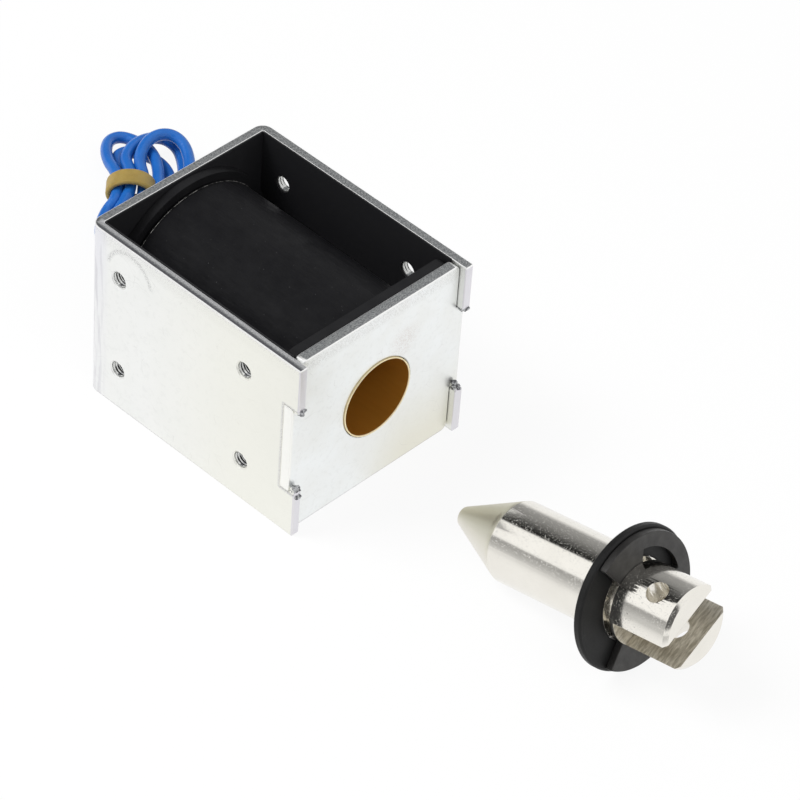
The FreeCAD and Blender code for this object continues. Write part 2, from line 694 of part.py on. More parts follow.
still = [frame_shell(), front_plate(), guide_tube(), pole_piece(), insulation_liner(), bobbin()]
still.append(coil("coil_winding", f"{BOBBIN_CORE} + coil_gap", COIL))
still.append(coil("coil_wrap", f"{COIL} + coil_gap", f"{COIL} + wrap_thickness"))
still.append(lead("lead_1", UPPER_LEAD, UPPER_ROUTE))
still.append(lead("lead_2", LOWER_LEAD, LOWER_ROUTE))
still.extend(joint_and_sleeve(1, UPPER_LEAD))
still.extend(joint_and_sleeve(2, LOWER_LEAD))
still.extend([lead_hank(), hank_band()])
moving = [plunger_core(), retaining_ring(), stop_washer()]
for piece in moving:
    lie_down(piece)
check_and_write(still + moving)
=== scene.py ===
import math

import bmesh
import bpy
from mathutils import Matrix, Vector, noise


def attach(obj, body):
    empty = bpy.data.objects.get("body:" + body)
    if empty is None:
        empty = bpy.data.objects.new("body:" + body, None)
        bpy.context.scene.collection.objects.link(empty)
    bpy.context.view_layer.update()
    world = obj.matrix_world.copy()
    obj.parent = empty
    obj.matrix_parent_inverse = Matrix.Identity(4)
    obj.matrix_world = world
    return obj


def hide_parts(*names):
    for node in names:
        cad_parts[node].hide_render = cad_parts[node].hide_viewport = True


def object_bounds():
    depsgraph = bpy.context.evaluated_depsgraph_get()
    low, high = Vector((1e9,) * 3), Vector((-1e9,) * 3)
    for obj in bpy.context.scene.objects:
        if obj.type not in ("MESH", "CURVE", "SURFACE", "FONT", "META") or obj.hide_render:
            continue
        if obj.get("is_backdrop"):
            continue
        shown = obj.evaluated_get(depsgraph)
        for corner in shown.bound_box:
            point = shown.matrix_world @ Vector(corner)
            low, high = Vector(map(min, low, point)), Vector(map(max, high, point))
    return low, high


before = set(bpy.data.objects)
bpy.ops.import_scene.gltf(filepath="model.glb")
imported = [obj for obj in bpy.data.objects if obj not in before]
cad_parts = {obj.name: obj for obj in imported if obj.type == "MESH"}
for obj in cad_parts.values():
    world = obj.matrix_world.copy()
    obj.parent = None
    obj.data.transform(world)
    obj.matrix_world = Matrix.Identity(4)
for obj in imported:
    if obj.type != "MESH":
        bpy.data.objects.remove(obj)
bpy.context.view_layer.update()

# ---- Studio ----
# The solenoid lies on a plain pale table under soft light, with a long lens looking down at it
# from the front left. Dim zones round it give the bright metal something dark to mirror.
MM = 0.001
camera_right = Vector((0.71066, 0.70109, 0.05854))
camera_up = Vector((-0.50386, 0.44913, 0.73784))
camera_back = Vector((0.49100, -0.55385, 0.67243))
camera_place = Vector((309.506, -342.797, 435.205)) * MM
camera_data = bpy.data.cameras.new("camera")
camera_data.sensor_width = 36.0
camera_data.lens = 188.01
camera_data.clip_start = 0.05
camera_data.clip_end = 20.0
camera = bpy.data.objects.new("camera", camera_data)
turn = Matrix((camera_right, camera_up, camera_back)).transposed().to_4x4()
camera.matrix_world = Matrix.Translation(camera_place) @ turn
bpy.context.collection.objects.link(camera)
bpy.context.scene.camera = camera
bpy.context.scene.view_settings.view_transform = "Standard"


def feed(tree, node, inputs):
    """Set a node's inputs, each to a value or from another node's socket."""
    for name, value in inputs.items():
        if isinstance(value, bpy.types.NodeSocket):
            tree.links.new(value, node.inputs[name])
        else:
            node.inputs[name].default_value = value


def add(tree, kind, inputs=None, **settings):
    """A new node with its settings and inputs."""
    made = tree.nodes.new(kind)
    for name, value in settings.items():
        setattr(made, name, value)
    feed(tree, made, inputs or {})
    return made


def maths(tree, kind, *values):
    """The result of a Math node."""
    return add(tree, "ShaderNodeMath", dict(enumerate(values)), operation=kind).outputs[0]


def product(tree, first, *others):
    """Several values multiplied."""
    for other in others:
        first = maths(tree, "MULTIPLY", first, other)
    return first


def ramp(tree, value, low, high, to_low=0.0, to_high=1.0):
    """The value eased from one range to another."""
    inputs = {"Value": value, "From Min": low, "From Max": high,
              "To Min": to_low, "To Max": to_high}
    eased = add(tree, "ShaderNodeMapRange", inputs, interpolation_type="SMOOTHSTEP")
    return eased.outputs["Result"]


def any_ray(tree):
    """The Light Path node, and 1 for rays from the camera, off a gloss or through glass."""
    path = add(tree, "ShaderNodeLightPath")
    both = maths(tree, "MAXIMUM", path.outputs["Is Camera Ray"], path.outputs["Is Glossy Ray"])
    return path, maths(tree, "MAXIMUM", both, path.outputs["Is Transmission Ray"])


floor_bm = bmesh.new()
bmesh.ops.create_grid(floor_bm, x_segments=1, y_segments=1, size=6.0)
floor_mesh = bpy.data.meshes.new("table")
floor_bm.to_mesh(floor_mesh)
floor_bm.free()
floor = bpy.data.objects.new("table", floor_mesh)
bpy.context.collection.objects.link(floor)
floor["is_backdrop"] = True
table_paint = bpy.data.materials.new("table_paint")
table_paint.use_nodes = True
tree = table_paint.node_tree
tree.nodes.clear()
path, seen = any_ray(tree)
matt = add(tree, "ShaderNodeBsdfDiffuse", {"Color": (0.86, 0.86, 0.86, 1.0)})
# In the metal's mirror image, the table dims away from the object on the near left side
place = add(tree, "ShaderNodeSeparateXYZ", {0: add(tree, "ShaderNodeTexCoord").outputs["Object"]})
far_off = ramp(tree, place.outputs["Y"], -0.015, -0.090, 0.0, 0.42)
leftward = maths(tree, "MAXIMUM", ramp(tree, place.outputs["X"], -0.035, 0.005),
                 ramp(tree, place.outputs["Y"], -0.060, -0.110))
dim = product(tree, far_off, leftward, path.outputs["Is Glossy Ray"])
strength = maths(tree, "SUBTRACT", 1.0, dim)
lit = add(tree, "ShaderNodeEmission", {"Color": (1.0, 1.0, 1.0, 1.0), "Strength": strength})
share = maths(tree, "MULTIPLY", seen, 0.9)
mixed = add(tree, "ShaderNodeMixShader", {0: share, 1: matt.outputs[0], 2: lit.outputs[0]})
add(tree, "ShaderNodeOutputMaterial", {"Surface": mixed.outputs[0]})
floor_mesh.materials.append(table_paint)

world = bpy.data.worlds.new("room")
bpy.context.scene.world = world
world.use_nodes = True
tree = world.node_tree
tree.nodes.clear()
path, seen = any_ray(tree)
way = add(tree, "ShaderNodeTexCoord").outputs["Generated"]
split = add(tree, "ShaderNodeSeparateXYZ", {0: way})
way_x, way_y, way_z = (split.outputs[axis] for axis in "XYZ")
# Only glossy surfaces see these: a dim wall behind the object, a dim place before it, and on the
# left a soft box over a low shelf
behind = ramp(tree, way_x, -0.30, -0.42)
wall = product(tree, behind, ramp(tree, way_y, -0.12, -0.08), ramp(tree, way_z, 0.0, 0.28),
               ramp(tree, way_y, -0.1, 0.75, 0.995, 0.66))
toward = add(tree, "ShaderNodeVectorMath", {0: way, 1: (0.60, -0.49, 0.63)},
             operation="DOT_PRODUCT")
before = ramp(tree, toward.outputs["Value"], 0.84, 0.93, 0.0, 0.88)
shelf = product(tree, ramp(tree, way_z, 0.30, 0.26), ramp(tree, way_y, -0.50, -0.56), behind,
                ramp(tree, way_z, 0.0, 0.3, 0.46, 0.64))
loss = maths(tree, "ADD", maths(tree, "ADD", wall, before), shelf)
box = product(tree, ramp(tree, way_z, 0.28, 0.34), ramp(tree, way_y, -0.08, -0.14), behind, 0.08)
change = product(tree, maths(tree, "SUBTRACT", box, loss), path.outputs["Is Glossy Ray"])
glow = maths(tree, "ADD", 1.0, change)
level = maths(tree, "MULTIPLY", glow, ramp(tree, seen, 0.0, 1.0, 0.44, 1.0))
sky = add(tree, "ShaderNodeBackground", {"Color": (1.0, 1.0, 1.0, 1.0), "Strength": level})
add(tree, "ShaderNodeOutputWorld", {"Surface": sky.outputs[0]})


def soft_lamp(name, place, target, size, watts):
    """A square soft lamp aimed at a point, its places in millimetres."""
    data = bpy.data.lights.new(name, "AREA")
    data.shape = "SQUARE"
    data.size = size
    data.energy = watts
    lamp = bpy.data.objects.new(name, data)
    start, end = Vector(place) * MM, Vector(target) * MM
    aim = (end - start).to_track_quat("-Z", "Y").to_matrix().to_4x4()
    lamp.matrix_world = Matrix.Translation(start) @ aim
    lamp.visible_glossy = False
    bpy.context.collection.objects.link(lamp)


soft_lamp("key_lamp", (-500, -450, 900), (0, 0, 10), 0.5, 9.0)
soft_lamp("fill_lamp", (700, -200, 600), (0, 0, 10), 0.7, 3.0)

# ---- Bent frame and front plate ----
# A zinc plated steel sheet bent into a U, notched, tapped four times on each side and staked over
# the tabs of the front plate. Its cut edges are sheared: torn grey strips, with a painted highlight
# on the arrises.


def finished(name, bm, material, body="frame"):
    """The mesh as an object at the origin, with its material, riding on a body."""
    mesh = bpy.data.meshes.new(name)
    bm.to_mesh(mesh)
    bm.free()
    for face in mesh.polygons:
        face.use_smooth = True
    mesh.materials.append(material)
    piece = bpy.data.objects.new(name, mesh)
    bpy.context.collection.objects.link(piece)
    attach(piece, body)
    return piece


def softened(name, node, material, width, body="frame", holes=()):
    """A node's shape with its sharp edges broken, but for those in the holes (x, y, z, radius)."""
    bm = bmesh.new()
    bm.from_mesh(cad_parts[node].data)
    bmesh.ops.remove_doubles(bm, verts=bm.verts, dist=1e-6)
    bmesh.ops.dissolve_limit(bm, angle_limit=math.radians(0.4), verts=bm.verts, edges=bm.edges)
    sharp = [edge for edge in bm.edges
             if len(edge.link_faces) == 2 and edge.calc_face_angle(0.0) > math.radians(30)]
    for edge in sharp:
        middle = (edge.verts[0].co + edge.verts[1].co) / 2
        if any((middle - Vector(hole[:3]) * MM).length < hole[3] * MM for hole in holes):
            edge.smooth = False
    bmesh.ops.bevel(bm, geom=[edge for edge in sharp if edge.smooth], offset=width * MM, segments=2,
                    affect="EDGES", profile=0.5, material=-1, clamp_overlap=not holes)
    bmesh.ops.triangulate(bm, faces=[face for face in bm.faces if len(face.verts) > 4])
    piece = finished(name, bm, material, body)
    even = piece.modifiers.new("even_shading", "WEIGHTED_NORMAL")
    even.keep_sharp = True
    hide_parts(node)
    return piece


def opaque(value):
    """A colour with its alpha of 1, and anything else as it is."""
    return (*value, 1.0) if isinstance(value, tuple) else value


def blend(tree, amount, first, second):
    """Two colours mixed by an amount."""
    inputs = {0: amount, 6: opaque(first), 7: opaque(second)}
    return add(tree, "ShaderNodeMix", inputs, data_type="RGBA").outputs[2]


def new_group(name, inputs, outputs):
    """An empty node group with named inputs, a tuple for a colour, and named outputs."""
    group = bpy.data.node_groups.new(name, "ShaderNodeTree")
    for label, value in inputs.items():
        kind = "NodeSocketColor" if isinstance(value, tuple) else "NodeSocketFloat"
        socket = group.interface.new_socket(label, in_out="INPUT", socket_type=kind)
        socket.default_value = opaque(value)
    for label, kind in outputs.items():
        group.interface.new_socket(label, in_out="OUTPUT", socket_type=kind)
    return group, add(group, "NodeGroupInput"), add(group, "NodeGroupOutput")


def use_group(tree, group, **inputs):
    """The outputs of a group placed in a tree, with its own values for some inputs."""
    values = {name: opaque(value) for name, value in inputs.items()}
    return add(tree, "ShaderNodeGroup", values, node_tree=group).outputs


def place_in(tree, scale=(1.0, 1.0, 1.0)):
    """Object coordinates in millimetres, stretched."""
    spot = add(tree, "ShaderNodeTexCoord").outputs["Object"]
    stretch = tuple(value / MM for value in scale)
    return add(tree, "ShaderNodeMapping", {"Vector": spot, "Scale": stretch}).outputs["Vector"]


# Smudges: cloudy variation of a surface, at a size in millimetres
smudges, given, wanted = new_group("smudges", {"Size": 5.0, "Contrast": 0.5},
                                   {"Mask": "NodeSocketFloat", "Fine": "NodeSocketFloat"})
spot = place_in(smudges)
count = maths(smudges, "DIVIDE", 1.0, given.outputs["Size"])
cloud = add(smudges, "ShaderNodeTexNoise",
            {"Vector": spot, "Scale": count, "Detail": 5.0, "Roughness": 0.55})
half = maths(smudges, "MULTIPLY", given.outputs["Contrast"], 0.3)
low, high = maths(smudges, "SUBTRACT", 0.5, half), maths(smudges, "ADD", 0.5, half)
fine = add(smudges, "ShaderNodeTexNoise",
           {"Vector": spot, "Scale": 6.0, "Detail": 4.0, "Roughness": 0.6})
feed(smudges, wanted, {"Mask": ramp(smudges, cloud.outputs["Fac"], high, low),
                       "Fine": fine.outputs["Fac"]})

# Scratches: a few thin curved lines, as handling leaves them on plating
scratches, given, wanted = new_group("scratches", {"Spacing": 6.0, "Width": 0.02},
                                     {"Mask": "NodeSocketFloat"})
spot = place_in(scratches)
bent = add(scratches, "ShaderNodeTexNoise", {"Vector": spot, "Scale": 0.12, "Detail": 2.0})
moved = add(scratches, "ShaderNodeVectorMath", {0: bent.outputs["Color"], "Scale": 9.0},
            operation="SCALE").outputs[0]
spot = add(scratches, "ShaderNodeVectorMath", {0: spot, 1: moved}, operation="ADD").outputs[0]
count = maths(scratches, "DIVIDE", 1.0, given.outputs["Spacing"])
cells = add(scratches, "ShaderNodeTexVoronoi", {"Vector": spot, "Scale": count},
            feature="DISTANCE_TO_EDGE")
line = ramp(scratches, cells.outputs["Distance"], given.outputs["Width"], 0.0)
part = add(scratches, "ShaderNodeTexNoise", {"Vector": spot, "Scale": 0.25, "Detail": 1.0})
here = ramp(scratches, part.outputs["Fac"], 0.52, 0.62)
feed(scratches, wanted, {"Mask": product(scratches, line, here)})


def new_material(name):
    """A material with only its Principled shader, and the tree that it is in."""
    made = bpy.data.materials.new(name)
    made.use_nodes = True
    return made, made.node_tree, made.node_tree.nodes["Principled BSDF"]


def set_up(tree, shader, values, height, depth):
    """Feed the shader, and give it a bump of a depth in millimetres."""
    bump = add(tree, "ShaderNodeBump",
               {"Height": height, "Strength": 1.0, "Distance": depth * MM})
    feed(tree, shader, {**values, "Normal": bump.outputs["Normal"]})


def mark(tree, base, colour, *masks):
    """The base with a colour laid over it where all the masks are high."""
    return blend(tree, product(tree, *masks), base, colour)


def off(tree, value, middle=0.0):
    """How far a value lies from a middle, on either side."""
    return maths(tree, "ABSOLUTE", maths(tree, "SUBTRACT", value, middle))


def slant(tree, first, second):
    """The straight distance over two distances at right angles."""
    squares = maths(tree, "ADD", product(tree, first, first), product(tree, second, second))
    return maths(tree, "SQRT", squares)


def from_point(tree, point):
    """The distance from a point, in millimetres."""
    span = add(tree, "ShaderNodeVectorMath", {0: place_in(tree), 1: point}, operation="DISTANCE")
    return span.outputs["Value"]


bore_height = 16.5
sheet, inner_half_width, back_inner_face, plate_back_face = 1.5, 16.5, -41.4, -0.9
notch_end, notch_half_height = -0.95, 8.25
hole_pattern_middle, hole_half_spacing, hole_half_rise, thread_pitch = -22.9, 13.5, 9.0, 0.5
stain_middle = (0.9, 5.3, 24.6)
rub_middle, rub_radius = (-34.1, -18.0, 27.1), 4.66

# Sheared zinc: bright plating, cloudy, stained and rubbed, and torn on the cut edges, with painted
# shade, reflections and highlights
sheared_zinc, given, wanted = new_group("sheared_zinc", {
    "Clean": (0.9, 0.9, 0.9), "Side": (0.9, 0.9, 0.9), "Yellowed": 0.5, "Depth": 0.0}, {
    "Colour": "NodeSocketColor", "Roughness": "NodeSocketFloat", "Relief": "NodeSocketFloat"})
tree = sheared_zinc
yellowed, depth = given.outputs["Yellowed"], given.outputs["Depth"]
place = add(tree, "ShaderNodeSeparateXYZ", {0: place_in(tree)})
x, y, z = (place.outputs[axis] for axis in "XYZ")
outward = off(tree, y)
facing = add(tree, "ShaderNodeSeparateXYZ", {0: add(tree, "ShaderNodeTexCoord").outputs["Normal"]})
cloudy = use_group(tree, smudges, Size=7.0, Contrast=1.2)
speckled = use_group(tree, smudges, Size=0.8, Contrast=0.7)
specks = speckled["Fine"]
scored = use_group(tree, scratches, Spacing=5.0, Width=0.008)
base = mark(tree, given.outputs["Clean"], (0.88, 0.89, 0.87), cloudy["Mask"])
base = mark(tree, base, (0.70, 0.71, 0.70), ramp(tree, speckled["Mask"], 0.6, 1.0, 0.0, 0.16))
# Yellow passivation low on the right, spots under the upper edge, and fine scratches
base = mark(tree, base, (0.82, 0.80, 0.69), ramp(tree, z, 17.0, 0.0), yellowed,
            ramp(tree, y, -6.0, 8.0))
base = mark(tree, base, (0.56, 0.56, 0.54), ramp(tree, z, 30.0, 31.5),
            ramp(tree, specks, 0.45, 0.6), 0.45)
base = mark(tree, base, (0.50, 0.50, 0.49), scored["Mask"], 0.3)
# A brown stain above the bore, and painted contact shadow: a dark line where the metal stands on
# the table
from_stain = from_point(tree, stain_middle)
base = mark(tree, base, (0.62, 0.53, 0.49), ramp(tree, from_stain, 4.2, 0.5),
            ramp(tree, specks, 0.40, 0.65, 0.0, 0.55), yellowed)
# Painted shadow: a dark, mottled line along the foot, where the metal meets the table
base = mark(tree, base, (0.45, 0.45, 0.45), ramp(tree, z, 0.42, 0.12),
            ramp(tree, specks, 0.38, 0.5), 0.55)
# Painted shade in the gap round the guide tube, darkest at its lower right
from_bore = slant(tree, y, maths(tree, "SUBTRACT", z, bore_height))
base = mark(tree, base, (0.20, 0.17, 0.14), ramp(tree, from_bore, 7.26, 7.06),
            ramp(tree, specks, 0.36, 0.5),
            ramp(tree, maths(tree, "SUBTRACT", y, z), -18.0, -13.0, 0.15, 0.85),
            ramp(tree, x, 0.2, 0.6))
# The left side's own cast, a painted bluish reflection near the back bend, and nicks under its
# upper edge
base = mark(tree, base, given.outputs["Side"], ramp(tree, x, -34.0, -6.0),
            ramp(tree, y, -17.4, -17.9), 0.7)
# Painted reflection: a bluish tint over the back bend
base = mark(tree, base, (0.83, 0.83, 0.88), ramp(tree, x, -38.0, -41.0),
            ramp(tree, z, 14.0, 30.0, 0.3, 0.8))
base = mark(tree, base, (0.44, 0.42, 0.50), ramp(tree, z, 31.9, 32.5),
            ramp(tree, outward, 17.4, 17.8), ramp(tree, specks, 0.53, 0.62), 0.6)
# Painted shade round the notches, where the tabs sit back, and a painted lavender shade on the lips
behind = maths(tree, "MAXIMUM", maths(tree, "SUBTRACT", notch_end, x), 0.0)
past = maths(tree, "SUBTRACT", off(tree, z, bore_height), notch_half_height)
from_notch = slant(tree, behind, maths(tree, "MAXIMUM", past, 0.0))
base = mark(tree, base, (0.46, 0.45, 0.49), ramp(tree, from_notch, 0.0, 0.03),
            ramp(tree, from_notch, 0.55, 0.12), ramp(tree, outward, 17.3, 17.6),
            ramp(tree, specks, 0.40, 0.56), 0.7)
# Painted shade: a lavender grey on the lips
base = mark(tree, base, (0.72, 0.70, 0.76), ramp(tree, x, 1.80, 1.96), 0.7)
# Streaks down the back bends, which are painted reflections, and an arc rubbed over the upper back
# hole of the left side
streaks = add(tree, "ShaderNodeTexNoise",
              {"Vector": place_in(tree, (1.6, 1.6, 0.12)), "Scale": 1.0, "Detail": 4.0})
# Painted reflection of the bend, in vertical streaks
base = mark(tree, base, (0.58, 0.57, 0.61), ramp(tree, streaks.outputs["Fac"], 0.46, 0.60),
            ramp(tree, x, -38.5, -41.5), ramp(tree, outward, 15.5, 17.0), 0.45)
from_arc = off(tree, from_point(tree, rub_middle), rub_radius)
base = mark(tree, base, (0.40, 0.40, 0.40), ramp(tree, from_arc, 0.6, 0.1),
            ramp(tree, specks, 0.47, 0.57), ramp(tree, z, 27.5, 28.4), 0.8)
# Cut edges: torn along the sheet, two-toned on the left, with a painted highlight along the arris
torn = ramp(tree, off(tree, facing.outputs["Z"]), 0.95, 0.99)
pulled = add(tree, "ShaderNodeCombineXYZ", {"X": maths(tree, "ADD", x, outward),
                                            "Y": maths(tree, "MULTIPLY", depth, 1.5)})
grain = add(tree, "ShaderNodeTexNoise",
            {"Vector": pulled.outputs[0], "Scale": 3.1, "Detail": 4.0, "Roughness": 0.7})
tear = blend(tree, ramp(tree, grain.outputs["Fac"], 0.36, 0.66),
             (0.20, 0.21, 0.22), (0.56, 0.57, 0.57))
tear = mark(tree, tear, (0.90, 0.90, 0.92), ramp(tree, depth, 0.85, 0.55),
            ramp(tree, y, -16.0, -16.4), 0.55)
tear = mark(tree, tear, (0.12, 0.12, 0.14), ramp(tree, depth, 0.75, 1.1),
            ramp(tree, y, -16.0, -17.0), 0.8)
base = blend(tree, torn, base, tear)
# Painted highlight: a near white line along the upper arris
base = mark(tree, base, (0.97, 0.97, 0.96), ramp(tree, z, 32.7, 32.85), ramp(tree, torn, 0.5, 0.1))
rough = blend(tree, torn, (0.30, 0.30, 0.30), (0.42, 0.42, 0.42))
rough = blend(tree, ramp(tree, cloudy["Fine"], 0.35, 0.7, 0.0, 0.3), rough, (0.5, 0.5, 0.5))
# Threads in the tapped holes
beside = maths(tree, "SUBTRACT", off(tree, x, hole_pattern_middle), hole_half_spacing)
above = maths(tree, "SUBTRACT", off(tree, z, bore_height), hole_half_rise)
in_hole = ramp(tree, slant(tree, beside, above), 1.45, 1.32)
thread = maths(tree, "SINE", maths(tree, "MULTIPLY", y, 2 * math.pi / thread_pitch))
relief = maths(tree, "ADD", product(tree, thread, in_hole, 5.0),
               product(tree, cloudy["Fine"], 0.45))
relief = maths(tree, "ADD", relief, product(tree, grain.outputs["Fac"], torn, 3.0))
feed(tree, wanted, {"Colour": base, "Roughness": rough, "Relief": relief})


def through_wall(tree, x, y):
    """How far out a place lies in the frame's wall, in millimetres."""
    side = maths(tree, "SUBTRACT", maths(tree, "ABSOLUTE", y), inner_half_width)
    return maths(tree, "MAXIMUM", side, maths(tree, "SUBTRACT", back_inner_face, x))


def through_plate(tree, x, y):
    """How far forward a place lies in the front plate, in millimetres."""
    return maths(tree, "SUBTRACT", x, plate_back_face)


def zinc(name, clean, side, yellowed, across):
    """A zinc finish, with the colour of its left side, for a wall that across measures."""
    material, tree, shader = new_material(name)
    place = add(tree, "ShaderNodeSeparateXYZ", {0: place_in(tree)})
    look = use_group(tree, sheared_zinc, Clean=clean, Side=side, Yellowed=yellowed,
                     Depth=across(tree, place.outputs["X"], place.outputs["Y"]))
    set_up(tree, shader, {"Base Color": look["Colour"], "Metallic": 0.92,
                          "Roughness": look["Roughness"]}, look["Relief"], 0.02)
    return material


frame_zinc = zinc("frame_zinc", (0.915, 0.92, 0.905), (0.89, 0.885, 0.80), 0.2, through_wall)
plate_zinc = zinc("plate_zinc", (0.935, 0.96, 0.965), (1.0, 0.99, 0.94), 0.9, through_plate)
broken_edge = 0.16
tapped = [(hole_pattern_middle + along * hole_half_spacing,
           side * (inner_half_width + sheet / 2), bore_height + up * hole_half_rise, 2.2)
          for along in (-1, 1) for side in (-1, 1) for up in (-1, 1)]
rivet_hole = (back_inner_face - sheet / 2, 0.0, bore_height, 9.0)
bore_hole = (0.0, 0.0, bore_height, 8.5)
softened("bent_frame", "frame_shell", frame_zinc, width=broken_edge,
         holes=tapped + [rivet_hole])
softened("closing_plate", "front_plate", plate_zinc, width=broken_edge,
         holes=[bore_hole])

# Metal crushed over the tabs by the staking punch: small rough lumps at the ends of the notches
crushed_zinc, tree, shader = new_material("crushed_zinc")
lumpy = add(tree, "ShaderNodeTexNoise", {"Vector": place_in(tree), "Scale": 2.2, "Detail": 4.0})
colour = blend(tree, ramp(tree, lumpy.outputs["Fac"], 0.4, 0.6),
               (0.11, 0.11, 0.12), (0.54, 0.55, 0.56))
set_up(tree, shader, {"Base Color": colour, "Metallic": 0.92, "Roughness": 0.36},
       lumpy.outputs["Fac"], 0.12)
# Each lump's middle and half sizes along x, y and z
lumps = [
    (1.62, -17.10, 24.30, 0.70, 0.68, 0.48), (1.55, -17.10, 8.75, 0.66, 0.70, 0.52),
    (1.92, -17.12, 7.50, 0.46, 0.70, 0.60), (1.55, 17.20, 24.50, 0.66, 0.66, 0.62),
    (1.95, -17.00, 24.55, 0.44, 0.62, 0.46), (0.70, -17.45, 24.75, 0.50, 0.40, 0.30),
    (1.55, 17.15, 8.60, 0.64, 0.66, 0.62), (1.30, 16.95, 9.45, 0.44, 0.42, 0.36),
]
lump_bm = bmesh.new()
for x, y, z, long, wide, high in lumps:
    grown = bmesh.ops.create_icosphere(lump_bm, subdivisions=4, radius=1.0)["verts"]
    for corner in grown:
        bulge = 1.0 + 0.55 * noise.noise(corner.co * 1.5 + Vector((x, y, z)) * 3.0)
        bulge += 0.18 * noise.noise(corner.co * 5.0 + Vector((x, y, z)))
        corner.co = Vector((corner.co.x * long, corner.co.y * wide, corner.co.z * high)) * bulge
    bmesh.ops.translate(lump_bm, vec=(x, y, z), verts=grown)
    bmesh.ops.scale(lump_bm, vec=(MM, MM, MM), verts=grown)
staking = finished("staked_lumps", lump_bm, crushed_zinc)

# ---- Insulation liner ----
# A thin black fibre sheet, cut out with holes over the threads and folded. It stands inside the
# frame, between the steel and the coil, which holds it in place.


def dress(node, material):
    """Give a node's object its finish."""
    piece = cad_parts[node]
    if not piece.material_slots:
        piece.data.materials.append(material)
    for holder in piece.material_slots:
        holder.link = "OBJECT"
        holder.material = material


liner_fibre, tree, shader = new_material("liner_fibre")
woolly = add(tree, "ShaderNodeTexNoise", {"Vector": place_in(tree, (1.0, 1.0, 3.0)), "Scale": 2.0,
                                          "Detail": 6.0, "Roughness": 0.7})
colour = blend(tree, woolly.outputs["Fac"], (0.006, 0.006, 0.007), (0.016, 0.016, 0.018))
set_up(tree, shader, {"Base Color": colour, "Roughness": 0.62, "Specular IOR Level": 0.35},
       woolly.outputs["Fac"], 0.03)
dress("insulation_liner", liner_fibre)

# ---- Bobbin, coil and tape ----
# A moulded black spool wound with enamelled wire. Two turns of black tape cover the winding,
# with a pale binding thread beside the back flange and lint from the workshop on it.
spool_plastic, tree, shader = new_material("spool_plastic")
dusty = use_group(tree, smudges, Size=3.0, Contrast=1.0)
colour = blend(tree, dusty["Mask"], (0.006, 0.006, 0.007), (0.011, 0.011, 0.012))
rough = ramp(tree, dusty["Fine"], 0.3, 0.7, 0.46, 0.62)
set_up(tree, shader, {"Base Color": colour, "Roughness": rough, "Specular IOR Level": 0.24},
       dusty["Fine"], 0.012)
dress("bobbin", spool_plastic)

wire_enamel, tree, shader = new_material("wire_enamel")
rings = add(tree, "ShaderNodeTexWave", {"Vector": place_in(tree), "Scale": 1.4, "Distortion": 0.3},
            wave_type="BANDS", bands_direction="X")
colour = blend(tree, rings.outputs["Fac"], (0.20, 0.06, 0.02), (0.62, 0.27, 0.10))
set_up(tree, shader, {"Base Color": colour, "Metallic": 0.85, "Roughness": 0.32},
       rings.outputs["Fac"], 0.1)
dress("coil_winding", wire_enamel)

tape_film, tree, shader = new_material("tape_film")
creased = add(tree, "ShaderNodeTexNoise", {"Vector": place_in(tree, (0.5, 2.2, 2.2)), "Scale": 0.55,
                                           "Detail": 4.0, "Roughness": 0.55})
dusty = use_group(tree, smudges, Size=2.2, Contrast=1.3)
lint = add(tree, "ShaderNodeTexVoronoi", {"Vector": place_in(tree, (0.9, 2.4, 0.7)), "Scale": 0.9},
           feature="F1")
specks = ramp(tree, lint.outputs["Distance"], 0.10, 0.04)
specks = maths(tree, "MULTIPLY", specks, ramp(tree, dusty["Fine"], 0.50, 0.62))
colour = blend(tree, dusty["Mask"], (0.0065, 0.0065, 0.0075), (0.0105, 0.0105, 0.0115))
colour = blend(tree, maths(tree, "MULTIPLY", specks, 0.5), colour, (0.22, 0.22, 0.22))
rough = ramp(tree, creased.outputs["Fac"], 0.35, 0.65, 0.42, 0.56)
set_up(tree, shader, {"Base Color": colour, "Roughness": rough, "Specular IOR Level": 0.11},
       creased.outputs["Fac"], 0.12)

bore_middle = Vector((0.0, 0.0, bore_height))
bore_steps = 128


def spun(profile):
    """A closed ring turned about the bore's axis, from points (along, outward) in millimetres."""
    bm = bmesh.new()
    along = Vector((1.0, 0.0, 0.0))
    outward = along.orthogonal().normalized()
    corners = [bm.verts.new((bore_middle + along * far + outward * wide) * MM)
               for far, wide in profile]
    edges = [bm.edges.new((corners[place - 1], corners[place])) for place in range(len(corners))]
    bmesh.ops.spin(bm, geom=corners + edges, cent=bore_middle * MM, axis=along,
                   angle=2 * math.pi, steps=bore_steps, use_merge=True)
    bmesh.ops.remove_doubles(bm, verts=bm.verts, dist=1e-7)
    bmesh.ops.recalc_face_normals(bm, faces=bm.faces)
    return bm


tape_profile = [(-39.45, 14.53), (-3.0, 14.53), (-3.0, 14.78), (-3.25, 14.84), (-19.2, 14.86),
                (-19.5, 14.80), (-20.4, 14.80), (-20.7, 14.90), (-38.6, 14.90), (-38.9, 14.82),
                (-39.45, 14.74)]
tape_bm = spun(tape_profile)
tape_outside, tape_dent = 14.7, 0.035
for corner in tape_bm.verts:
    offset = corner.co - bore_middle * MM
    reach = math.hypot(offset.y, offset.z)
    if reach > tape_outside * MM:
        dent = noise.noise(corner.co * 160.0) * tape_dent * MM - tape_dent * MM
        corner.co += Vector((0.0, offset.y, offset.z)) / reach * dent
tape = finished("winding_tape", tape_bm, tape_film)
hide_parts("coil_wrap")

